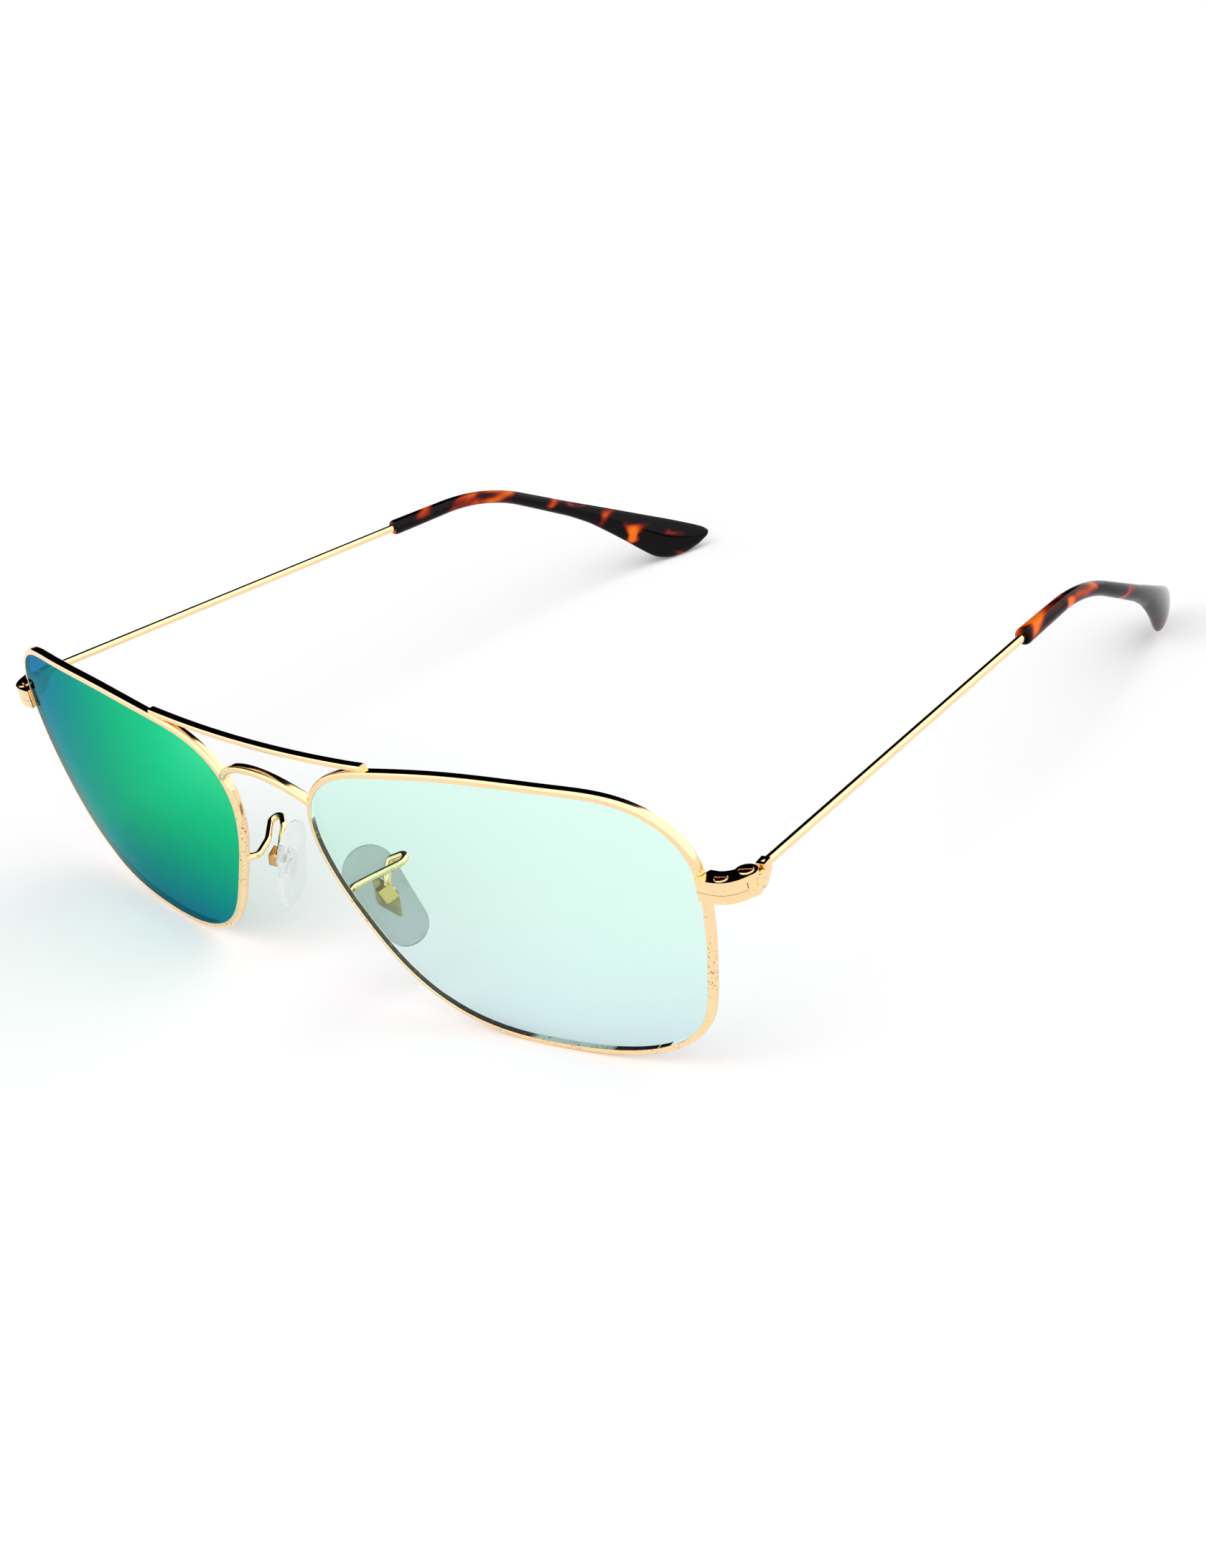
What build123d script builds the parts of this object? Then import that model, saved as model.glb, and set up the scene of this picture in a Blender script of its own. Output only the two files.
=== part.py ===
"""Metal-framed pilot sunglasses, modelled as worn parts would come apart on a bench.

The front faces -Y, the temples run back to +Y, +Z is up, and X = 0 is the plane of symmetry.
The glasses stand open on a table at Z = 0, on the two rims and the two temple tips.
Every piece is built for the wearer's left (+X) and mirrored for the right. Millimetres, degrees.
"""
import os
from math import pi

from build123d import *

os.makedirs("parts", exist_ok=True)

# ---- front: lens plane and eyewire -------------------------------------------------------
LENS_X, LENS_Z = 35.5, 19.36        # lens centre: from the plane of symmetry, and height
FRONT_TILT, FRONT_WRAP = 4.8, 7.8   # top leans forward, temporal side swings back
BASE_RADIUS = 144.0                 # front curve of the eyewire
LENS_OUTLINE = [                    # (temporal, up) from the lens centre
    (31.6, 5.9), (31.0, 11.5), (28.4, 15.4), (23.5, 18.2), (15.4, 19.4), (0.3, 19.7), (-13.1, 18.3),
    (-20.8, 16.3), (-24.9, 13.3), (-26.8, 9.2), (-26.3, 3.9), (-22.4, -4.4), (-17.1, -12.0),
    (-11.8, -16.0), (-5.3, -18.1), (5.7, -18.7), (17.1, -17.8), (23.2, -15.6), (27.1, -12.1), (29.4, -6.2),
]
OUTLINE_STEPS = 72                  # points along the outline, for the curves offset from it
RIM_WIDTH, RIM_DEPTH = 0.9, 1.25    # eyewire section: in the lens plane, and front to back
RIM_ROUNDING = 0.42                 # of the eyewire's two outer edges
RIM_SLIT, SLIT_REACH = 0.12, 12.0   # where the closing block pulls the eyewire's ends together
LENS_SET_BACK, LENS_THICKNESS = 0.1, 1.05
TONGUE_HEIGHT, TONGUE_THICKNESS = 0.3, 0.55    # bevel round the lens, held in the eyewire
GROOVE_CLEARANCE = 0.03
OUTLINE_REACH = 20.0                # prism that cuts the curved shells reaches this far each way

# ---- closing block and hinge -------------------------------------------------------------
BLOCK_TOP, BLOCK_SPLIT, BLOCK_BOTTOM = 29.55, 27.9, 26.7
SPLIT_GAP = 0.05
BLOCK_PLAN = [                      # seen from above, round the eyewire and back to the hinge
    (66.55, 6.7), (69.0, 6.85), (70.7, 7.45), (71.8, 8.8), (72.5, 10.8),
    (70.2, 11.0), (69.3, 9.95), (68.5, 9.4), (67.1, 9.2),
]
BLOCK_ROUNDING = [0.2, 5.0, 3.0, 4.5, 0.2, 0.2, 3.5, 2.0, 0.2]
HINGE_X, HINGE_Y = 71.05, 10.85
KNUCKLE_RADIUS, KNUCKLE_HEIGHT = 1.4, 0.7       # the front's knuckle, at the top of the block
BARREL_RADIUS, BARREL_HEIGHT = 1.5, 1.3         # the temple's knuckle: barrel below, neck above it
NECK_RADIUS = 1.2
KNUCKLE_GAP = 0.08                  # between the temple's knuckle and the front's
KNUCKLE_SWING = 0.14                # round the temple's knuckle, where it turns in the block
HINGE_SHANK, CLOSING_SHANK = 0.55, 0.5          # screw radii
HINGE_CLEARANCE = 0.04
HINGE_HEAD, CLOSING_HEAD = 0.95, 0.85           # head radii
HEAD_HEIGHT, HEAD_PROUD, HEAD_CHAMFER = 0.32, 0.12, 0.08
SLOT_WIDTH, SLOT_DEPTH = 0.26, 0.24            # driver slot across each head
CLOSING_X, CLOSING_Y = 69.5, 8.2

# ---- temple ------------------------------------------------------------------------------
TEMPLE_START = (71.7, 11.1, 29.05)  # wire's centre line, level with the hinge axis
TEMPLE_TOE_IN, TEMPLE_SLOPE = 7.9, 2.8
TEMPLE_STRAIGHT = 78.0              # to the start of the ear bend
EAR_RADIUS = 33.0                   # of the downward bend over the ear
EAR_BENDS = {"left": 25.5, "right": 28.0}       # each side is adjusted to its own ear
HUG_RADIUS = 98.0                   # inward curve of the part behind the ear
WIRE_RADIUS = 0.6
WIRE_START, WIRE_END = 2.1, 118.0
LEAF_START, LEAF_END = 1.65, 3.1    # leaf that carries the wire, along the temple
LEAF_HALF_WIDTH, LEAF_EDGE = 0.62, 0.05
LEAF_TOP_DROP, LEAF_BOTTOM_RISE = 0.05, 0.1        # within the closing block's height
TIP_SECTIONS = [                    # distance from the hinge, height, thickness, drop of the centre
    (67.5, 2.2, 2.2, 0), (68.1, 2.5, 2.5, 0), (74, 2.4, 2.4, 0.03), (82, 2.2, 2.2, 0.05),
    (92, 2.15, 2.2, 0.05),
    (105, 2.5, 2.2, 0.1), (109.5, 3.1, 2.25, 0.25), (113.5, 4.1, 2.4, 0.65), (117.5, 5.2, 2.55, 1.1),
    (121, 6.3, 2.65, 1.55), (124, 7.1, 2.65, 1.85), (127, 6.5, 2.5, 1.5), (129.5, 4.9, 2.2, 0.7),
    (131.3, 3.1, 1.7, -0.15), (132.3, 1.3, 0.9, -0.75),
]

# ---- brow bar and bridge -----------------------------------------------------------------
BAR_HALF_SPAN, BAR_DEPTH, BAR_HEIGHT = 21.4, 1.3, 0.95
BAR_END = (-0.9, 38.65)             # (y, z) of the bar's centre at its ends
BAR_MIDDLE = (-1.75, 38.25)
BRIDGE_HALF_SPAN, BRIDGE_DEPTH, BRIDGE_HEIGHT = 9.0, 1.35, 1.1
BRIDGE_END = (-1.0, 31.05)
BRIDGE_MIDDLE = (-2.6, 34.75)
BAR_ROUNDING = 0.4

# ---- nose pads ---------------------------------------------------------------------------
PAD_CENTRE = (9.85, 5.85, 13.7)
PAD_NORMAL = (-1.0, 0.466, -0.404)  # towards the nose
PAD_LONG_AXIS = (-0.42, -0.11, 0.9)
PAD_LENGTH, PAD_TOP_RADIUS, PAD_LOW_RADIUS = 15.0, 3.65, 3.05
PAD_FRONT, PAD_BACK = 1.0, 0.8      # from the pad's middle plane
PAD_EDGE = 0.7
INSERT_LENGTH, INSERT_WIDTH, INSERT_THICKNESS = 6.4, 3.0, 0.4
INSERT_END_RADIUS = 0.3
PIVOT_ALONG, PIVOT_BEHIND = 0.6, 1.9    # pad's pivot screw, in the pad's own plane
TAB_RADIUS, TAB_THICKNESS, TAB_NECK = 0.68, 0.5, 0.9
TAB_GAP = 0.1                       # each side of the tab, in the box
BOX_LENGTH, BOX_WIDTH, BOX_DEPTH = 2.1, 1.9, 1.9
BOX_FRONT = 0.75                    # of the pivot, towards the pad
PAD_SCREW_SHANK, PAD_SCREW_HEAD, PAD_SCREW_HEAD_HEIGHT = 0.32, 0.55, 0.3
PAD_SCREW_CLEARANCE = 0.04
ARM_RADIUS = 0.5
ARM_ROUTE = [                       # from the eyewire back, over in a loop, and down to the pad's box
    (10.7, -0.3, 18.0), (9.8, 1.0, 17.75), (11.2, 4.1, 18.2), (13.6, 7.0, 19.1), (13.1, 8.6, 19.6),
    (10.9, 7.0, 18.9), (11.0, 5.9, 16.8), (11.1, 5.5, 15.6),
]
ARM_BENDS = [1.2, 4.0, 0.9, 0.75, 0.7, 0.7]

# ---- placing -----------------------------------------------------------------------------
LENS_PLACE = (Pos(0, 0, LENS_Z) * Rot(X=FRONT_TILT) * Pos(LENS_X, 0, 0) * Rot(Z=FRONT_WRAP) * Rot(X=90))
LENS_PLANE = Plane(LENS_PLACE)      # x temporal, y up, z to the front
CURVE_CENTRE = LENS_PLANE.offset(-BASE_RADIUS).origin
TEMPLE_PLACE = Pos(*TEMPLE_START) * Rot(Z=90 + TEMPLE_TOE_IN) * Rot(Y=TEMPLE_SLOPE)
PAD_SIDEWAYS = Vector(*PAD_NORMAL).cross(Vector(*PAD_LONG_AXIS))
PAD_PLANE = Plane(origin=PAD_CENTRE, x_dir=PAD_SIDEWAYS.cross(Vector(*PAD_NORMAL)), z_dir=PAD_NORMAL)
PIVOT = PAD_PLANE.from_local_coords((PIVOT_ALONG, 0, -PIVOT_BEHIND))
OUTLINE_CURVE = Spline(*LENS_OUTLINE, periodic=True)


def ear_length(ear_bend):
    """Length of the bend over the ear."""
    return EAR_RADIUS * ear_bend * pi / 180


def temple_at(distance, ear_bend):
    """Place on the temple's centre line: x along it, y towards the head, z up."""
    straight = min(distance, TEMPLE_STRAIGHT)
    bend = min(max(distance - TEMPLE_STRAIGHT, 0) / EAR_RADIUS * 180 / pi, ear_bend)
    hug = max(distance - TEMPLE_STRAIGHT - ear_length(ear_bend), 0) / HUG_RADIUS * 180 / pi
    ear = Pos(0, 0, -EAR_RADIUS) * Rot(Y=bend) * Pos(0, 0, EAR_RADIUS)
    inward = Pos(0, HUG_RADIUS, 0) * Rot(Z=hug) * Pos(0, -HUG_RADIUS, 0)
    return TEMPLE_PLACE * Pos(straight, 0, 0) * ear * inward


def export_left(piece, name):
    """Write a piece of the wearer's left side."""
    piece.part.label = f"left_{name}"
    export_step(piece.part, f"parts/left_{name}.step")


def export_right(piece, name):
    """Write a piece of the right side, the mirror image of one built on the left."""
    with BuildPart() as twin:
        mirror(piece.part, about=Plane.YZ)
    twin.part.label = f"right_{name}"
    export_step(twin.part, f"parts/right_{name}.step")


def export_pair(piece, name):
    """Write a piece that is the same on both sides."""
    export_left(piece, name)
    export_right(piece, name)


def grown_outline(grow):
    """Points of the lens outline, each moved outwards by grow."""
    points = []
    for step in range(OUTLINE_STEPS):
        tangent = OUTLINE_CURVE % (step / OUTLINE_STEPS)
        outwards = Vector(tangent.Y, -tangent.X)
        points.append(OUTLINE_CURVE @ (step / OUTLINE_STEPS) + outwards * grow)
    return points


def lens_prism(grow):
    """Prism of the lens outline, offset outwards, through the whole front."""
    with BuildPart() as prism:
        with BuildSketch(LENS_PLANE.offset(-OUTLINE_REACH)):
            with BuildLine():
                Spline(*grown_outline(grow), periodic=True)
            make_face()
        extrude(amount=2 * OUTLINE_REACH)
    return prism.part


def curved_slab(grow, front, thickness):
    """Lens-shaped slab between two spheres of the base curve, its front set back by front."""
    with BuildPart() as slab:
        add(lens_prism(grow))
        with Locations(CURVE_CENTRE):
            Sphere(BASE_RADIUS - front, mode=Mode.INTERSECT)
            Sphere(BASE_RADIUS - front - thickness, mode=Mode.SUBTRACT)
    return slab.part


# ---- eyewires and lenses -----------------------------------------------------------------
tongue_front = LENS_SET_BACK + (LENS_THICKNESS - TONGUE_THICKNESS) / 2
with BuildPart() as full_rim:
    add(curved_slab(RIM_WIDTH, 0, RIM_DEPTH))
    fillet(full_rim.edges().filter_by(lambda edge: edge.length > OUTLINE_REACH), RIM_ROUNDING)

with BuildPart() as rim:
    add(full_rim.part)
    add(lens_prism(0), mode=Mode.SUBTRACT)
    add(
        curved_slab(
            TONGUE_HEIGHT + GROOVE_CLEARANCE, tongue_front - GROOVE_CLEARANCE,
            TONGUE_THICKNESS + 2 * GROOVE_CLEARANCE,
        ),
        mode=Mode.SUBTRACT,
    )
    with Locations((HINGE_X, HINGE_Y, BLOCK_SPLIT - SPLIT_GAP / 2)):
        Box(
            SLIT_REACH, SLIT_REACH, RIM_SLIT,
            align=(Align.MAX, Align.CENTER, Align.CENTER), mode=Mode.SUBTRACT,
        )
export_pair(rim, "rim")

with BuildPart() as lens:
    add(curved_slab(0, LENS_SET_BACK, LENS_THICKNESS))
    add(curved_slab(TONGUE_HEIGHT, tongue_front, TONGUE_THICKNESS))
export_pair(lens, "lens")


# ---- closing block: two halves that clamp the eyewire, each with a hinge knuckle ---------
def block_half(bottom, top):
    """One half of the closing block, cut for the eyewire and for the temple's knuckle."""
    with BuildPart() as half:
        with BuildSketch(Plane.XY.offset(bottom)):
            with BuildLine():
                FilletPolyline(*BLOCK_PLAN, radius=BLOCK_ROUNDING, close=True)
            make_face()
            with Locations((HINGE_X, HINGE_Y)):
                Circle(KNUCKLE_RADIUS)
        extrude(amount=top - bottom)
        with BuildSketch(Plane.XY.offset(BLOCK_BOTTOM)):
            with Locations((HINGE_X, HINGE_Y)):
                Circle(BARREL_RADIUS + KNUCKLE_SWING)
        extrude(amount=knuckle_bottom - BLOCK_BOTTOM, mode=Mode.SUBTRACT)
        add(rim.part, mode=Mode.SUBTRACT)
    return half.part


knuckle_bottom = BLOCK_TOP - KNUCKLE_HEIGHT
with BuildPart() as upper_block:
    add(block_half(BLOCK_SPLIT, BLOCK_TOP))
    with Locations((CLOSING_X, CLOSING_Y, BLOCK_TOP)):
        CounterBoreHole(CLOSING_SHANK, CLOSING_HEAD, HEAD_HEIGHT)
    with Locations((HINGE_X, HINGE_Y, BLOCK_TOP)):
        CounterBoreHole(HINGE_SHANK, HINGE_HEAD, HEAD_HEIGHT)
export_pair(upper_block, "upper_closing_block")

with BuildPart() as lower_block:
    add(block_half(BLOCK_BOTTOM, BLOCK_SPLIT - SPLIT_GAP))
    with Locations((CLOSING_X, CLOSING_Y, BLOCK_TOP)):
        Hole(CLOSING_SHANK)
export_pair(lower_block, "lower_closing_block")


# ---- screws ------------------------------------------------------------------------------
def slotted_screw(plane, shank, head, seat, proud, length):
    """Screw with its head from seat below the plane to proud above it, slotted across the top."""
    with BuildPart(plane) as screw:
        with Locations((0, 0, proud)):
            Cylinder(head, seat + proud, align=(Align.CENTER, Align.CENTER, Align.MAX))
        chamfer(screw.edges().group_by(Axis(plane.origin, plane.z_dir))[-1], HEAD_CHAMFER)
        with Locations((0, 0, -seat)):
            Cylinder(shank, length - seat, align=(Align.CENTER, Align.CENTER, Align.MAX))
        with Locations((0, 0, proud)):
            Box(
                2 * head, SLOT_WIDTH, SLOT_DEPTH,
                align=(Align.CENTER, Align.CENTER, Align.MAX), mode=Mode.SUBTRACT,
            )
    return screw


block_height = BLOCK_TOP - BLOCK_BOTTOM
closing_place = Plane(origin=(CLOSING_X, CLOSING_Y, BLOCK_TOP), x_dir=(1, 0.4, 0))
closing_screw = slotted_screw(
    closing_place, CLOSING_SHANK, CLOSING_HEAD, HEAD_HEIGHT, HEAD_PROUD, block_height
)
export_pair(closing_screw, "closing_screw")
hinge_place = Plane(origin=(HINGE_X, HINGE_Y, BLOCK_TOP), x_dir=(1, 0.6, 0))
hinge_screw = slotted_screw(hinge_place, HINGE_SHANK, HINGE_HEAD, HEAD_HEIGHT, HEAD_PROUD, block_height)
export_pair(hinge_screw, "hinge_screw")


# ---- temple: hinge leaf, wire and tip ----------------------------------------------------
leaf_plane = Plane(TEMPLE_PLACE * Rot(X=90))    # x along the temple, y up, z outwards
leaf_top = BLOCK_TOP - LEAF_TOP_DROP - TEMPLE_START[2]
leaf_bottom = BLOCK_BOTTOM + LEAF_BOTTOM_RISE - TEMPLE_START[2]
neck_top = knuckle_bottom - KNUCKLE_GAP
with BuildPart() as hinge_blank:
    with BuildSketch(Plane.XY.offset(BLOCK_BOTTOM)):
        with Locations((HINGE_X, HINGE_Y)):
            Circle(BARREL_RADIUS)
    extrude(amount=BARREL_HEIGHT)
    with BuildSketch(Plane.XY.offset(BLOCK_BOTTOM)):
        with Locations((HINGE_X, HINGE_Y)):
            Circle(NECK_RADIUS)
    extrude(amount=neck_top - BLOCK_BOTTOM)
    with BuildSketch(leaf_plane):
        with BuildLine():
            Polyline(
                (0, leaf_bottom), (0, neck_top - TEMPLE_START[2]), (LEAF_START, neck_top - TEMPLE_START[2]),
                (LEAF_START, leaf_top), (LEAF_END, WIRE_RADIUS + LEAF_EDGE),
                (LEAF_END, -WIRE_RADIUS - LEAF_EDGE), (LEAF_START, leaf_bottom), close=True,
            )
        make_face()
    extrude(amount=LEAF_HALF_WIDTH, both=True)
    with Locations((HINGE_X, HINGE_Y, BLOCK_TOP)):
        Hole(HINGE_SHANK + HINGE_CLEARANCE)


def temple_wire(ear_bend):
    """Wire from the leaf to inside the tip."""
    ear_end = TEMPLE_STRAIGHT + ear_length(ear_bend)
    ear_middle = (TEMPLE_STRAIGHT + ear_end) / 2
    hug_middle = (ear_end + WIRE_END) / 2
    with BuildPart() as wire:
        with BuildLine():
            Line(*[temple_at(distance, ear_bend).position for distance in (WIRE_START, TEMPLE_STRAIGHT)])
            for arc in ((TEMPLE_STRAIGHT, ear_middle, ear_end), (ear_end, hug_middle, WIRE_END)):
                ThreePointArc(*[temple_at(distance, ear_bend).position for distance in arc])
        with BuildSketch(Plane(temple_at(WIRE_START, ear_bend) * Rot(Y=90))):
            Circle(WIRE_RADIUS)
        sweep()
    return wire


def temple_tip(ear_bend, wire):
    """Sleeve over the end of the wire, flattened and flared behind the ear."""
    with BuildPart() as tip:
        for distance, height, thickness, drop in TIP_SECTIONS:
            with BuildSketch(Plane(temple_at(distance, ear_bend) * Rot(Y=90))):
                with Locations((drop, 0)):
                    Ellipse(height / 2, thickness / 2)
        loft()
        add(wire.part, mode=Mode.SUBTRACT)
    return tip


left_wire = temple_wire(EAR_BENDS["left"])
right_wire = temple_wire(EAR_BENDS["right"])
export_left(left_wire, "temple_wire")
export_right(right_wire, "temple_wire")
export_left(temple_tip(EAR_BENDS["left"], left_wire), "temple_tip")
export_right(temple_tip(EAR_BENDS["right"], right_wire), "temple_tip")

with BuildPart() as temple_hinge:
    add(hinge_blank.part)
    add(left_wire.part, mode=Mode.SUBTRACT)
export_pair(temple_hinge, "temple_hinge")


# ---- brow bar and bridge, soldered to both eyewires --------------------------------------
def front_bar(half_span, end, middle, depth, height):
    """Bar with rounded edges along an arc from eyewire to eyewire, trimmed where it meets them."""
    with BuildPart() as bar:
        with BuildLine() as spine:
            ThreePointArc((-half_span, *end), (0, *middle), (half_span, *end))
        with BuildSketch(Plane(origin=spine.line @ 0, x_dir=(0, 1, 0), z_dir=spine.line % 0)):
            RectangleRounded(depth, height, BAR_ROUNDING)
        sweep()
        add(full_rim.part, mode=Mode.SUBTRACT)
        add(full_rim.part.mirror(Plane.YZ), mode=Mode.SUBTRACT)
    return bar


brow_bar = front_bar(BAR_HALF_SPAN, BAR_END, BAR_MIDDLE, BAR_DEPTH, BAR_HEIGHT)
brow_bar.part.label = "brow_bar"
export_step(brow_bar.part, "parts/brow_bar.step")
bridge = front_bar(BRIDGE_HALF_SPAN, BRIDGE_END, BRIDGE_MIDDLE, BRIDGE_DEPTH, BRIDGE_HEIGHT)
bridge.part.label = "bridge"
export_step(bridge.part, "parts/bridge.step")


# ---- nose pads: arm, box, pivot screw, insert and pad ------------------------------------
pivot_side = Plane(origin=PIVOT, x_dir=PAD_PLANE.x_dir, z_dir=PAD_PLANE.y_dir)   # y points away from the pad
box_plane = Plane(origin=PIVOT, x_dir=PAD_PLANE.x_dir, z_dir=PAD_PLANE.z_dir)

with BuildPart() as pad_insert:
    with BuildSketch(PAD_PLANE.offset(-PAD_BACK / 2 - INSERT_THICKNESS / 2)):
        Circle(INSERT_WIDTH / 2)
        with GridLocations(INSERT_LENGTH - 2 * INSERT_END_RADIUS, 0, 2, 1):
            Circle(INSERT_END_RADIUS)
        make_hull()
    extrude(amount=INSERT_THICKNESS)
    with BuildSketch(pivot_side):
        Circle(TAB_RADIUS)
        with Locations((0, -PIVOT_BEHIND / 2 + PAD_BACK / 4)):
            Rectangle(TAB_NECK, PIVOT_BEHIND - PAD_BACK / 2)
    extrude(amount=TAB_THICKNESS / 2, both=True)
    with BuildSketch(pivot_side):
        Circle(PAD_SCREW_SHANK + PAD_SCREW_CLEARANCE)
    extrude(amount=TAB_THICKNESS, both=True, mode=Mode.SUBTRACT)
export_pair(pad_insert, "pad_insert")

with BuildPart() as nose_pad:
    with BuildSketch(PAD_PLANE.offset(-PAD_BACK)):
        with Locations((PAD_LENGTH / 2 - PAD_TOP_RADIUS, 0)):
            Circle(PAD_TOP_RADIUS)
        with Locations((PAD_LOW_RADIUS - PAD_LENGTH / 2, 0)):
            Circle(PAD_LOW_RADIUS)
        make_hull()
    extrude(amount=PAD_BACK + PAD_FRONT)
    front_and_back = nose_pad.faces().filter_by(Axis(PAD_PLANE.origin, PAD_PLANE.z_dir))
    fillet(front_and_back.edges(), PAD_EDGE)
    add(pad_insert.part, mode=Mode.SUBTRACT)
export_pair(nose_pad, "nose_pad")

with BuildPart(box_plane) as pad_box:
    with Locations((0, 0, BOX_FRONT)):
        Box(BOX_LENGTH, BOX_WIDTH, BOX_DEPTH, align=(Align.CENTER, Align.CENTER, Align.MAX))
    outer_box = pad_box.part
    slot_reach = TAB_RADIUS + TAB_GAP
    with Locations((slot_reach, 0, BOX_FRONT)):
        Box(
            BOX_LENGTH + slot_reach, TAB_THICKNESS + 2 * TAB_GAP, BOX_FRONT + slot_reach,
            align=(Align.MAX, Align.CENTER, Align.MAX), mode=Mode.SUBTRACT,
        )
    with BuildSketch(pivot_side):
        Circle(PAD_SCREW_SHANK)
    extrude(amount=BOX_WIDTH, both=True, mode=Mode.SUBTRACT)
export_pair(pad_box, "pad_box")

screw_place = Plane(
    origin=PIVOT + PAD_PLANE.y_dir * (BOX_WIDTH / 2), x_dir=PAD_PLANE.x_dir, z_dir=PAD_PLANE.y_dir
)
pad_screw = slotted_screw(screw_place, PAD_SCREW_SHANK, PAD_SCREW_HEAD, 0, PAD_SCREW_HEAD_HEIGHT, BOX_WIDTH)
export_pair(pad_screw, "pad_screw")

with BuildPart() as pad_arm:
    with BuildLine() as route:
        FilletPolyline(*ARM_ROUTE, radius=ARM_BENDS)
    with BuildSketch(Plane(origin=route.line @ 0, z_dir=route.line % 0)):
        Circle(ARM_RADIUS)
    sweep()
    add(full_rim.part, mode=Mode.SUBTRACT)
    add(outer_box, mode=Mode.SUBTRACT)
export_pair(pad_arm, "pad_arm")
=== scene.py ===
"""Looks of the metal pilot sunglasses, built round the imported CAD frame. Metres, +Z up, front towards -Y."""
from math import cos, pi, radians, sin, sqrt

import bmesh
import bpy
import numpy as np
from mathutils import Matrix, Vector


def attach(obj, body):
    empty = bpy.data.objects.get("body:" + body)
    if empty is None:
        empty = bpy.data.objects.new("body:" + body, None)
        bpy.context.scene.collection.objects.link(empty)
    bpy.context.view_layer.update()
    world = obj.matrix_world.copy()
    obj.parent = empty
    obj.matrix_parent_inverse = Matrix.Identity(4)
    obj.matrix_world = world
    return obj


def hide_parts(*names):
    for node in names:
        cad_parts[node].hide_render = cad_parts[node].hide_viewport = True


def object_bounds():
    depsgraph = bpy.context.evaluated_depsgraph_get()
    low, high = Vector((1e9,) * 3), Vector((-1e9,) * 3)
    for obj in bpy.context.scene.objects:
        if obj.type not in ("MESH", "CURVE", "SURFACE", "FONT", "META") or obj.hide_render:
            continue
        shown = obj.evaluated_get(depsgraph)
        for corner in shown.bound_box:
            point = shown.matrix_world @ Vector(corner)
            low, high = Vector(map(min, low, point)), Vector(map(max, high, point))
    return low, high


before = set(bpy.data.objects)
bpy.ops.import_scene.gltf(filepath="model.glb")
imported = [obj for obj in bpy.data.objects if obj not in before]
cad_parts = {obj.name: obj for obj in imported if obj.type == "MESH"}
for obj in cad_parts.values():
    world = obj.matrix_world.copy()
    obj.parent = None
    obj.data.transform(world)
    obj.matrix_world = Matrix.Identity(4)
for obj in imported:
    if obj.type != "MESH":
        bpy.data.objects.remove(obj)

cad_box = [list(corner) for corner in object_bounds()]
MM = 0.001

# ---- dimensions shared with the CAD, in millimetres and degrees --------------------------
LENS_X, LENS_Z = 35.5, 19.36
FRONT_TILT, FRONT_WRAP = 4.8, 7.8
BASE_RADIUS = 144.0
LENS_OUTLINE = [                    # (temporal, up) from the lens centre
    (31.6, 5.9), (31.0, 11.5), (28.4, 15.4), (23.5, 18.2), (15.4, 19.4), (0.3, 19.7), (-13.1, 18.3),
    (-20.8, 16.3), (-24.9, 13.3), (-26.8, 9.2), (-26.3, 3.9), (-22.4, -4.4), (-17.1, -12.0),
    (-11.8, -16.0), (-5.3, -18.1), (5.7, -18.7), (17.1, -17.8), (23.2, -15.6), (27.1, -12.1), (29.4, -6.2),
]
RIM_WIDTH, RIM_DEPTH = 0.9, 1.25
RIM_INNER_ROUNDING, RIM_OUTER_ROUNDING = 0.09, 0.42
LENS_SET_BACK, LENS_THICKNESS = 0.1, 1.05
LENS_CLEARANCE = 0.02
TEMPLE_START = (71.7, 11.1, 29.05)
TEMPLE_TOE_IN, TEMPLE_SLOPE = 7.9, 2.8
TEMPLE_STRAIGHT, EAR_RADIUS, HUG_RADIUS = 78.0, 33.0, 98.0
EAR_BENDS = {"left": 25.5, "right": 28.0}
WIRE_RADIUS, WIRE_START, WIRE_END = 0.6, 2.1, 80       # drawn to a little way inside the tip
TIP_SECTIONS = [                    # distance from the hinge, height, thickness, drop of the centre
    (68.1, 2.5, 2.5, 0), (74, 2.4, 2.4, 0.03), (82, 2.2, 2.2, 0.05), (92, 2.15, 2.2, 0.05),
    (105, 2.5, 2.2, 0.1), (109.5, 3.1, 2.25, 0.25), (113.5, 4.1, 2.4, 0.65), (117.5, 5.2, 2.55, 1.1),
    (121, 6.3, 2.65, 1.55), (124, 7.1, 2.65, 1.85), (127, 6.5, 2.5, 1.5), (129.5, 4.9, 2.2, 0.7),
    (131.3, 3.1, 1.7, -0.15), (132.3, 1.3, 0.9, -0.75),
]
PAD_CENTRE = Vector((9.85, 5.85, 13.7))
PAD_NORMAL = Vector((-1.0, 0.466, -0.404)).normalized()
PAD_LONG = Vector((-0.42, -0.11, 0.9))
PAD_LENGTH, PAD_TOP_RADIUS, PAD_LOW_RADIUS = 15.0, 3.65, 3.05
PAD_FRONT, PAD_BACK = 1.0, 0.8
FRAME_HEIGHT = 40
TIP_BEGIN, TIP_REACH = 80, 55       # tip's colours change along Y from here, over this length

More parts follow.
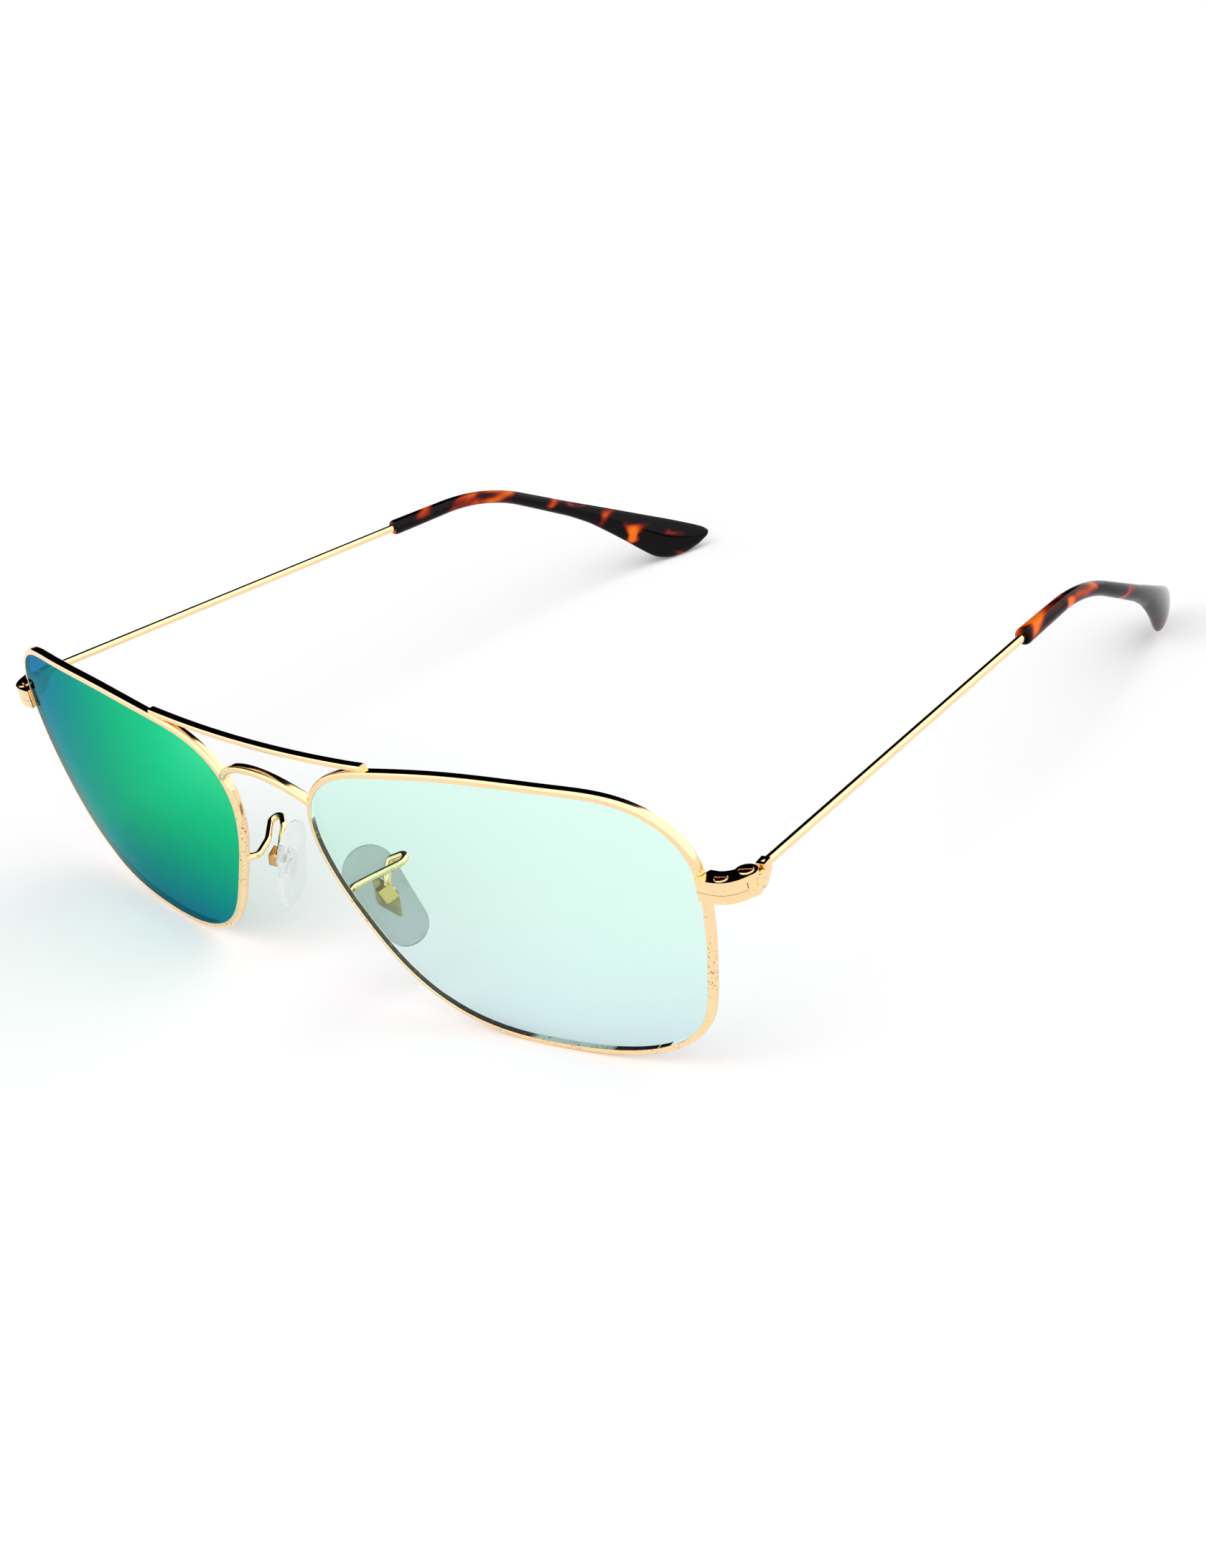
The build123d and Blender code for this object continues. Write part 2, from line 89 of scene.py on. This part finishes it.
# ---- finer shapes than the CAD's, in millimetres -----------------------------------------
OUTLINE_STEPS = 300
LENS_RINGS = [0.02, 0.2, 0.4, 0.6, 0.75, 0.87, 0.95, 1.0]      # as shares of the outline
TIP_COLLAR = ((67.95, 0.56), (67.6, 0.6), (67.5, 0.78), (67.56, 0.9), (67.75, 0.97))
TIP_COLLAR_SIZE = 2.5               # the collar is (distance, share of this size)
TIP_END = ((0.12, 0.75), (0.2, 0.4), (0.22, 0.1))              # (past the last section, share of it)
TIP_SMOOTHING = (-1.1, -0.5, 0, 0.5, 1.1)                      # sections averaged along the shaft
TIP_SMOOTH_FROM, TIP_SMOOTH_TO = 70, 129
PAD_LEVELS = [                      # (height over the pad's middle plane, inset of the outline)
    (-PAD_BACK, 2.4), (-PAD_BACK, 1.0), (-PAD_BACK + 0.05, 0.6), (-PAD_BACK + 0.25, 0.22), (-0.3, 0.04),
    (0.1, 0.0), (0.4, 0.08), (0.62, 0.28), (0.78, 0.6), (0.9, 1.1), (0.98, 2.0), (PAD_FRONT, 2.9),
]
WELD_REACH, BLOCK_EDGE, SMALL_EDGE = 0.000001, 0.00012, 0.00006    # metres

# ---- mesh helpers ------------------------------------------------------------------------


def turn(degrees, axis):
    """Rotation about an axis, as a matrix."""
    return Matrix.Rotation(radians(degrees), 4, axis)


def move(x, y, z):
    """Translation, as a matrix."""
    return Matrix.Translation((x, y, z))


def flip(point, side):
    """A point of the wearer's left, in millimetres, on either side, in metres."""
    return Vector((point[0] if side == "left" else -point[0], point[1], point[2])) * MM


def mesh_piece(name, rings, closed=False, body="front"):
    """A mesh through rings of points: the last ring joins the first if closed, else both ends are capped."""
    per_ring = len(rings[0])
    points = [tuple(p) for ring in rings for p in ring]
    faces = []
    for i in range(len(rings) if closed else len(rings) - 1):
        a = i * per_ring
        b = (i + 1) % len(rings) * per_ring
        faces += [(a + k, a + (k + 1) % per_ring, b + (k + 1) % per_ring, b + k) for k in range(per_ring)]
    if not closed:
        faces.append(tuple(reversed(range(per_ring))))
        faces.append(tuple(range(len(points) - per_ring, len(points))))
    mesh = bpy.data.meshes.new(name)
    mesh.from_pydata(points, [], faces)
    mesh.validate()
    mesh.update()
    bm = bmesh.new()
    bm.from_mesh(mesh)
    bmesh.ops.recalc_face_normals(bm, faces=bm.faces)
    bm.to_mesh(mesh)
    bm.free()
    mesh.polygons.foreach_set("use_smooth", [True] * len(mesh.polygons))
    piece = bpy.data.objects.new(name, mesh)
    bpy.context.scene.collection.objects.link(piece)
    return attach(piece, body)


def closed_curve(points, count):
    """Points and unit tangents along a periodic cubic through the points, evenly by chord length."""
    p = np.array(points, float)
    n = len(p)
    h = np.linalg.norm(np.roll(p, -1, 0) - p, axis=1)
    slope = (np.roll(p, -1, 0) - p) / h[:, None]
    system = np.zeros((n, n))
    for i in range(n):
        system[i, i - 1] += h[i - 1]
        system[i, i] += 2 * (h[i - 1] + h[i])
        system[i, (i + 1) % n] += h[i]
    bend = np.linalg.solve(system, 6 * (slope - np.roll(slope, 1, 0)))
    start = np.concatenate([[0], np.cumsum(h)])
    along, tangents = [], []
    for s in np.linspace(0, start[-1], count, endpoint=False):
        i = min(int(np.searchsorted(start, s, side="right")) - 1, n - 1)
        j, x, w = (i + 1) % n, s - start[i], h[i]
        b = slope[i] - w * (2 * bend[i] + bend[j]) / 6
        along.append(p[i] + b * x + bend[i] / 2 * x * x + (bend[j] - bend[i]) / (6 * w) * x ** 3)
        t = b + bend[i] * x + (bend[j] - bend[i]) / (2 * w) * x * x
        tangents.append(t / np.linalg.norm(t))
    return np.array(along), np.array(tangents)


LENS_PLACE = (
    move(0, 0, LENS_Z) @ turn(FRONT_TILT, "X") @ move(LENS_X, 0, 0) @ turn(FRONT_WRAP, "Z") @ turn(90, "X")
)


def on_front(u, v, back):
    """A point of the lens plane's outline, set back from the eyewire's front curve."""
    radius = BASE_RADIUS - back
    return LENS_PLACE @ Vector((u, v, sqrt(radius * radius - u * u - v * v) - BASE_RADIUS))


def rounded(width, depth, inner, outer, steps=6):
    """Eyewire section, (outwards, back) points: small corners at the lens, large ones outside."""
    corners = [
        (inner, inner, inner, 180), (width - outer, outer, outer, 270),
        (width - outer, depth - outer, outer, 0), (inner, depth - inner, inner, 90),
    ]
    points = []
    for x, y, r, first in corners:
        for k in range(steps + 1):
            a = radians(first + 90 * k / steps)
            points.append((x + r * cos(a), y + r * sin(a)))
    return points


# ---- materials ---------------------------------------------------------------------------


class Paint:
    """A material with a Principled shader and short calls for the nodes that feed it."""

    def __init__(self, name):
        self.material = bpy.data.materials.new(name)
        self.material.use_nodes = True
        self.nodes = self.material.node_tree.nodes
        self.links = self.material.node_tree.links
        self.shader = self.nodes["Principled BSDF"]
        self.place = self.nodes.new("ShaderNodeTexCoord").outputs["Object"]

    def set(self, **values):
        for name, value in values.items():
            self.shader.inputs[name.replace("_", " ")].default_value = value
        return self

    def link(self, source, socket):
        self.links.new(source, self.shader.inputs[socket])

    def noise(self, scale, detail=3.0, roughness=0.5, distortion=0.0, vector=None):
        node = self.nodes.new("ShaderNodeTexNoise")
        node.inputs["Scale"].default_value = scale
        node.inputs["Detail"].default_value = detail
        node.inputs["Roughness"].default_value = roughness
        node.inputs["Distortion"].default_value = distortion
        self.links.new(vector or self.place, node.inputs["Vector"])
        return node.outputs["Fac"]

    def ramp(self, source, stops):
        node = self.nodes.new("ShaderNodeValToRGB")
        elements = node.color_ramp.elements
        elements[0].position, elements[1].position = stops[0][0], stops[-1][0]
        for position, colour in stops[1:-1]:
            elements.new(position)
        for element, (position, colour) in zip(elements, stops):
            element.color = (*colour, 1) if isinstance(colour, tuple) else (colour, colour, colour, 1)
        self.links.new(source, node.inputs["Fac"])
        return node.outputs["Color"]

    def maths(self, operation, a, b=None, c=None):
        node = self.nodes.new("ShaderNodeMath")
        node.operation = operation
        for socket, value in zip(node.inputs, (a, b, c)):
            if value is None:
                continue
            if isinstance(value, (int, float)):
                socket.default_value = value
            else:
                self.links.new(value, socket)
        return node.outputs[0]

    def mix(self, factor, a, b):
        node = self.nodes.new("ShaderNodeMix")
        node.data_type = "RGBA"
        for socket, value in zip((node.inputs[0], node.inputs[6], node.inputs[7]), (factor, a, b)):
            if isinstance(value, (int, float)):
                socket.default_value = value
            elif isinstance(value, tuple):
                socket.default_value = (*value, 1)
            else:
                self.links.new(value, socket)
        return node.outputs[2]

    def axes(self):
        node = self.nodes.new("ShaderNodeSeparateXYZ")
        self.links.new(self.place, node.inputs[0])
        return node.outputs

    def bump(self, source, strength, distance):
        node = self.nodes.new("ShaderNodeBump")
        node.inputs["Strength"].default_value = strength
        node.inputs["Distance"].default_value = distance
        self.links.new(source, node.inputs["Height"])
        self.link(node.outputs["Normal"], "Normal")


def srgb(r, g, b):
    """Linear colour from the usual 0 to 255 values."""
    shares = (r / 255, g / 255, b / 255)
    return tuple(c / 12.92 if c <= 0.04045 else ((c + 0.055) / 1.055) ** 2.4 for c in shares)


def gold(name, wear=0.0, tone=(1.0, 0.735, 0.415)):
    """Polished gold plating, with pits and darker specks where it is worn."""
    paint = Paint(name).set(Metallic=1.0, Roughness=0.1)
    clouds = paint.noise(220, 3)
    shade = paint.mix(clouds, tuple(c * 0.94 for c in tone), tone)
    speckle = paint.noise(3000, 3, 0.6)
    where = paint.noise(170, 2)
    height = paint.axes()[2]
    share = paint.maths("MULTIPLY", height, 1000 / FRAME_HEIGHT)
    low = paint.ramp(share, [(0.0, 1.0), (0.6, 0.8), (0.85, 0.15)])
    patchy = paint.ramp(where, [(0.42, 0.0), (0.58, 1.0)])
    spots = paint.ramp(speckle, [(0.60, 0.0), (0.64, 1.0)])
    specks = paint.maths("MULTIPLY", spots, patchy)
    worn = paint.maths("MULTIPLY", specks, paint.maths("MULTIPLY", low, wear))
    paint.link(paint.mix(worn, shade, srgb(118, 78, 46)), "Base Color")
    rough = paint.ramp(paint.noise(900, 4), [(0.3, 0.07), (0.75, 0.14)])
    paint.link(paint.maths("ADD", rough, paint.maths("MULTIPLY", worn, 0.3)), "Roughness")
    relief = paint.maths("SUBTRACT", paint.noise(1500, 3), paint.maths("MULTIPLY", worn, 2.0))
    paint.bump(relief, 0.12, 0.00002)
    return paint.material


GOLD = gold("gold_plating", 0.35)
WORN_GOLD = gold("worn_gold_plating", 1.0)
SCREW_GOLD = gold("screw_metal", 0.0, (0.80, 0.55, 0.33))
# a darker, browner copy of the gold with worn specks, for the pad boxes and the left pad's insert
DARK_BRASS = gold("dark_brass_tone", 0.6, (0.62, 0.40, 0.15))


def mirror_lens(name, metallic):
    """Green to blue coating: greenest at the upper nasal side, bluest at the far corner and below."""
    paint = Paint(name).set(Metallic=metallic, Roughness=0.015, IOR=1.02, Transmission_Weight=1.0)
    paint.set(Specular_Tint=(0.12, 0.47, 0.5, 1))
    x, _, z = paint.axes()
    across = paint.maths("SUBTRACT", paint.maths("MULTIPLY", x, -1000), LENS_X)
    height = paint.maths("SUBTRACT", paint.maths("MULTIPLY", z, 1000), LENS_Z)
    rate = paint.maths("MULTIPLY_ADD", height, 0.0003, 0.0158)
    sideways = paint.maths("MULTIPLY", paint.maths("ADD", across, 24), rate)
    down = paint.maths("MULTIPLY", paint.maths("SUBTRACT", 15, height), 1 / 36)
    sweep = paint.maths("SMOOTH_MAX", sideways, down, 0.12)
    colour = paint.ramp(sweep, [
        (0.0, srgb(72, 228, 158)), (0.25, srgb(56, 210, 141)), (0.45, srgb(52, 194, 140)),
        (0.6, srgb(48, 180, 147)), (0.75, srgb(44, 165, 158)), (0.9, srgb(44, 144, 172)),
        (1.0, srgb(46, 122, 190)),
    ])
    paint.link(colour, "Base Color")
    return paint.material


def clear_lens():
    """Pale mint glass, a little bluer below."""
    paint = Paint("mint_glass").set(Roughness=0.0, IOR=1.12, Transmission_Weight=1.0)
    height = paint.maths("MULTIPLY", paint.axes()[2], 1000 / FRAME_HEIGHT)
    colour = paint.ramp(height, [
        (0.1, srgb(221, 241, 244)), (0.55, srgb(222, 249, 240)), (0.95, srgb(224, 253, 242)),
    ])
    paint.link(colour, "Base Color")
    return paint.material


def tortoiseshell():
    """Polished acetate: near black, amber streaks on the shaft and small red marks on the paddle."""
    paint = Paint("tortoiseshell_acetate").set(Roughness=0.08, IOR=1.2)
    stretch = paint.nodes.new("ShaderNodeMapping")
    stretch.inputs["Scale"].default_value = (1.0, 0.42, 1.0)
    paint.links.new(paint.place, stretch.inputs["Vector"])
    patches = paint.noise(330, 0.6, 0.4, 0.5, stretch.outputs[0])
    fine = paint.noise(1400, 2, 0.5, 0.3, stretch.outputs[0])
    along = paint.maths("MULTIPLY_ADD", paint.axes()[1], 1000 / TIP_REACH, -TIP_BEGIN / TIP_REACH)
    bias = paint.maths("MULTIPLY_ADD", along, -0.11, 0.05)
    both = paint.maths("MULTIPLY_ADD", fine, 0.05, paint.maths("MULTIPLY", patches, 0.95))
    blend = paint.maths("ADD", both, bias)
    colour = paint.ramp(blend, [
        (0.52, srgb(6, 3, 4)), (0.57, srgb(58, 10, 5)), (0.62, srgb(146, 38, 8)), (0.70, srgb(224, 104, 20)),
    ])
    paint.link(colour, "Base Color")
    paint.bump(paint.noise(350, 2), 0.05, 0.0001)
    return paint.material


def pad_plastic(name, colour, clear, ior):
    """Moulded pad: cloudy with handling, glossy skin."""
    paint = Paint(name).set(Roughness=0.1, IOR=ior, Transmission_Weight=clear)
    paint.link(paint.mix(paint.noise(320, 3), tuple(c * 0.92 for c in colour), colour), "Base Color")
    paint.bump(paint.noise(1200, 3), 0.08, 0.00002)
    return paint.material


MIRROR, MIRROR_BODY = mirror_lens("mirror_coating", 0.62), mirror_lens("tinted_lens_body", 0.0)
MINT, TORTOISE = clear_lens(), tortoiseshell()
SMOKY_PAD = pad_plastic("smoky_pad", srgb(196, 200, 200), 0.9, 1.25)
CLEAR_PAD = pad_plastic("clear_pad", srgb(254, 254, 254), 1.0, 1.04)


def groove_shade():
    """Painted shade on the groove's inner wall behind the lens, near black with a few lighter flecks, and pale
    near-white patches in the outer half of the left one.
    """
    paint = Paint("groove_painted_shade").set(Metallic=0.3, Roughness=0.5)
    # painted shade: near black where the gap behind the lens lies in shade
    dark_shade = paint.ramp(paint.noise(1400, 4, 0.6), [
        (0.35, srgb(8, 6, 5)), (0.6, srgb(24, 18, 12)), (0.68, srgb(150, 122, 78)),
    ])
    # pale near-white patches over the outer half of the left lens's groove
    plating = paint.ramp(paint.noise(1800, 3, 0.6), [(0.36, srgb(96, 74, 44)), (0.42, srgb(228, 232, 216))])
    outer = paint.ramp(paint.maths("MULTIPLY", paint.axes()[0], 1000 / 72), [(0.49, 0.0), (0.51, 1.0)])
    paint.link(paint.mix(outer, dark_shade, plating), "Base Color")
    paint.bump(paint.noise(2500, 3), 0.2, 0.00003)
    return paint.material


GROOVE_SHADE_PAINT = groove_shade()


def dress(piece, material):
    """Give a piece one material."""
    piece.data.materials.clear()
    piece.data.materials.append(material)


# ---- eyewires and lenses -----------------------------------------------------------------
OUTLINE, TANGENTS = closed_curve(LENS_OUTLINE, OUTLINE_STEPS)
OUTWARDS = np.stack([TANGENTS[:, 1], -TANGENTS[:, 0]], 1)
SECTION = rounded(RIM_WIDTH, RIM_DEPTH, RIM_INNER_ROUNDING, RIM_OUTER_ROUNDING)


def eyewire(side):
    """Eyewire all round the lens, with painted groove shade on its inner wall."""
    rings = []
    for at, out in zip(OUTLINE, OUTWARDS):
        rings.append([flip(on_front(*(at + out * a), back), side) for a, back in SECTION])
    piece = mesh_piece(f"{side}_eyewire", rings, closed=True)
    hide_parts(f"{side}_rim")
    dress(piece, WORN_GOLD)
    piece.data.materials.append(GROOVE_SHADE_PAINT)
    per_ring = len(SECTION)
    # the inner wall's faces take the painted groove shade
    for face in piece.data.polygons:
        if {v % per_ring for v in face.vertices} == {0, per_ring - 1}:
            face.material_index = 1


def lens(side):
    """Curved lens: rings grow from the middle on the front, and shrink back to it behind."""
    edge_line = OUTLINE - OUTWARDS * LENS_CLEARANCE
    rings = []
    for share in LENS_RINGS:
        rings.append([flip(on_front(*(at * share), LENS_SET_BACK), side) for at in edge_line])
    rear = LENS_SET_BACK + LENS_THICKNESS
    for share in reversed(LENS_RINGS):
        rings.append([flip(on_front(*(at * share), rear), side) for at in edge_line])
    piece = mesh_piece(f"{side}_lens_glass", rings)
    edge = piece.modifiers.new("edge", "EDGE_SPLIT")
    edge.split_angle = radians(50)
    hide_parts(f"{side}_lens")
    dress(piece, MINT if side == "left" else MIRROR)
    if side == "right":
        piece.data.materials.append(MIRROR_BODY)
        for face in piece.data.polygons:
            if max(face.vertices) >= len(LENS_RINGS) * len(OUTLINE):
                face.material_index = 1
    piece.visible_shadow = False


# ---- temples -----------------------------------------------------------------------------
TEMPLE_PLACE = move(*TEMPLE_START) @ turn(90 + TEMPLE_TOE_IN, "Z") @ turn(TEMPLE_SLOPE, "Y")


def temple_at(distance, ear_bend):
    """Place on the temple's centre line: x along it, y towards the head, z up."""
    ear_length = EAR_RADIUS * ear_bend * pi / 180
    bend = min(max(distance - TEMPLE_STRAIGHT, 0) / EAR_RADIUS * 180 / pi, ear_bend)
    hug = max(distance - TEMPLE_STRAIGHT - ear_length, 0) / HUG_RADIUS * 180 / pi
    ear = move(0, 0, -EAR_RADIUS) @ turn(bend, "Y") @ move(0, 0, EAR_RADIUS)
    inward = move(0, HUG_RADIUS, 0) @ turn(hug, "Z") @ move(0, -HUG_RADIUS, 0)
    return TEMPLE_PLACE @ move(min(distance, TEMPLE_STRAIGHT), 0, 0) @ ear @ inward


def ellipse(height, thickness, drop, count):
    """Cross-section of the temple at its centre line, lowered by drop."""
    return [
        Vector((0, thickness / 2 * cos(2 * pi * k / count), height / 2 * sin(2 * pi * k / count) - drop))
        for k in range(count)
    ]


def wire(side):
    """Temple wire, from the hinge to inside the tip."""
    bend = EAR_BENDS[side]
    rings = [
        [flip(temple_at(s, bend) @ p, side) for p in ellipse(2 * WIRE_RADIUS, 2 * WIRE_RADIUS, 0, 28)]
        for s in np.linspace(WIRE_START, WIRE_END, 60)
    ]
    piece = mesh_piece(f"{side}_wire", rings, body=f"{side}_temple")
    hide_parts(f"{side}_temple_wire")
    dress(piece, GOLD)


def tip_section(s, table):
    """Height, thickness and drop of the tip at a distance, averaged along the shaft to smooth it."""
    reach = TIP_SMOOTHING if TIP_SMOOTH_FROM < s < TIP_SMOOTH_TO else (0,)
    return [np.mean([np.interp(s + d, table[:, 0], table[:, k]) for d in reach]) for k in (1, 2, 3)]


def tip(side):
    """Acetate sleeve: a rolled collar where the wire goes in, a slim shaft and a flared, rounded paddle."""
    bend = EAR_BENDS[side]
    table = np.array(TIP_SECTIONS)
    rings = []
    for distance, share in TIP_COLLAR:
        size = TIP_COLLAR_SIZE * share
        rings.append([flip(temple_at(distance, bend) @ p, side) for p in ellipse(size, size, 0, 36)])
    for s in np.linspace(table[0, 0], table[-1, 0], 110):
        section = ellipse(*tip_section(s, table), 36)
        rings.append([flip(temple_at(s, bend) @ p, side) for p in section])
    last, height, thickness, drop = TIP_SECTIONS[-1]
    for extra, share in TIP_END:
        section = ellipse(height * share, thickness * share, drop, 36)
        rings.append([flip(temple_at(last + extra, bend) @ p, side) for p in section])
    piece = mesh_piece(f"{side}_tip_sleeve", rings, body=f"{side}_temple")
    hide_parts(f"{side}_temple_tip")
    dress(piece, TORTOISE)


# ---- nose pads ---------------------------------------------------------------------------
PAD_X = PAD_NORMAL.cross(PAD_LONG).cross(PAD_NORMAL).normalized()
PAD_Y = PAD_NORMAL.cross(PAD_X)


def pad_outline(inset, count=72):
    """Long egg: two circles and their tangents, shrunk by inset; (along, across) points."""
    high, low = PAD_LENGTH / 2 - PAD_TOP_RADIUS, PAD_LOW_RADIUS - PAD_LENGTH / 2
    points = []
    for k in range(count):
        a = 2 * pi * k / count
        circles = ((high, PAD_TOP_RADIUS), (low, PAD_LOW_RADIUS))
        centre, radius = max(circles, key=lambda c: c[0] * cos(a) + c[1])
        points.append((centre + (radius - inset) * cos(a), (radius - inset) * sin(a)))
    return points


def pad(side):
    """Pad with a soft rounded edge and a slightly crowned nose side."""
    rings = []
    for depth, inset in PAD_LEVELS:
        rings.append([
            flip(PAD_CENTRE + PAD_X * u + PAD_Y * v + PAD_NORMAL * depth, side) for u, v in pad_outline(inset)
        ])
    piece = mesh_piece(f"{side}_pad", rings, body=f"{side}_pad")
    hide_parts(f"{side}_nose_pad")
    dress(piece, SMOKY_PAD if side == "left" else CLEAR_PAD)
    piece.visible_shadow = False


for each_side in ("left", "right"):
    eyewire(each_side)
    lens(each_side)
    wire(each_side)
    tip(each_side)
    pad(each_side)

# ---- carried-over CAD pieces: materials and rounded edges --------------------------------
FINISHES = {
    "left_pad_insert": DARK_BRASS, "right_pad_insert": CLEAR_PAD,
    "left_pad_box": DARK_BRASS, "right_pad_box": DARK_BRASS,
}
for node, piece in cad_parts.items():
    if piece.hide_render:
        continue
    dress(piece, FINISHES.get(node, SCREW_GOLD if node.endswith("screw") else GOLD))
    piece.data.polygons.foreach_set("use_smooth", [True] * len(piece.data.polygons))
    weld = piece.modifiers.new("weld", "WELD")
    weld.merge_threshold = WELD_REACH
    soft = piece.modifiers.new("edge_rounding", "BEVEL")
    soft.width = BLOCK_EDGE if "block" in node or "hinge" in node else SMALL_EDGE
    soft.segments = 3
    soft.limit_method = "ANGLE"
    soft.angle_limit = radians(35)
    soft.harden_normals = True

# ---- floor, light and camera -------------------------------------------------------------


def stage_floor():
    """Plain pale paper at the level of the lowest point."""
    mesh = bpy.data.meshes.new("studio_floor")
    half, level = 3.0, cad_box[0][2]
    mesh.from_pydata([(-half, -half, level), (half, -half, level), (half, half, level), (-half, half, level)],
                     [], [(0, 1, 2, 3)])
    floor = bpy.data.objects.new("studio_floor", mesh)
    bpy.context.scene.collection.objects.link(floor)
    paint = Paint("white_paper").set(Roughness=0.9, Specular_IOR_Level=0.0)
    paint.link(paint.mix(paint.noise(40, 2), srgb(249, 248, 250), srgb(251, 250, 252)), "Base Color")
    mesh.materials.append(paint.material)


def soft_world():
    """Even white surround with one dark card high behind the glasses, which the metal's tops reflect."""
    world = bpy.data.worlds.new("studio")
    bpy.context.scene.world = world
    world.use_nodes = True
    nodes, links = world.node_tree.nodes, world.node_tree.links
    background = nodes["Background"]
    place = nodes.new("ShaderNodeTexCoord")
    dot = nodes.new("ShaderNodeVectorMath")
    dot.operation = "DOT_PRODUCT"
    dot.inputs[1].default_value = Vector((-0.7, 0.35, 0.62)).normalized()
    links.new(place.outputs["Generated"], dot.inputs[0])
    edge = nodes.new("ShaderNodeMapRange")
    edge.interpolation_type = "SMOOTHSTEP"
    outer, inner = cos(radians(50)), cos(radians(43))
    for name, value in (("From Min", outer), ("From Max", inner), ("To Min", 1.62), ("To Max", 0.0)):
        edge.inputs[name].default_value = value
    links.new(dot.outputs["Value"], edge.inputs["Value"])
    seen = nodes.new("ShaderNodeLightPath")
    pick = nodes.new("ShaderNodeMix")
    links.new(seen.outputs["Is Camera Ray"], pick.inputs[0])
    links.new(edge.outputs[0], pick.inputs[2])
    pick.inputs[3].default_value = 1.0
    links.new(pick.outputs[0], background.inputs["Strength"])
    background.inputs["Color"].default_value = (1.0, 0.995, 0.99, 1)


def photo_camera():
    """Camera at the photograph's angle, by azimuth, elevation, roll, distance and field of view."""
    azimuth, elevation, roll, distance = radians(48.59), radians(26.91), radians(-12.85), 0.2995
    target = Vector((0.0449, 0.0158, 0.03255))
    back = Vector((sin(azimuth) * cos(elevation), -cos(azimuth) * cos(elevation), sin(elevation)))
    level = Vector((cos(azimuth), sin(azimuth), 0))
    up = back.cross(level)
    right = level * cos(roll) + up * sin(roll)
    high = up * cos(roll) - level * sin(roll)
    data = bpy.data.cameras.new("camera")
    data.sensor_fit = "VERTICAL"
    data.sensor_height = 36.0
    data.lens = 57.11
    data.clip_start = 0.005
    camera = bpy.data.objects.new("camera", data)
    bpy.context.scene.collection.objects.link(camera)
    turned = Matrix((right, high, back)).transposed().to_4x4()
    camera.matrix_world = Matrix.Translation(target + back * distance) @ turned
    bpy.context.scene.camera = camera


stage_floor()
soft_world()
photo_camera()
bpy.context.scene.view_settings.view_transform = "Standard"
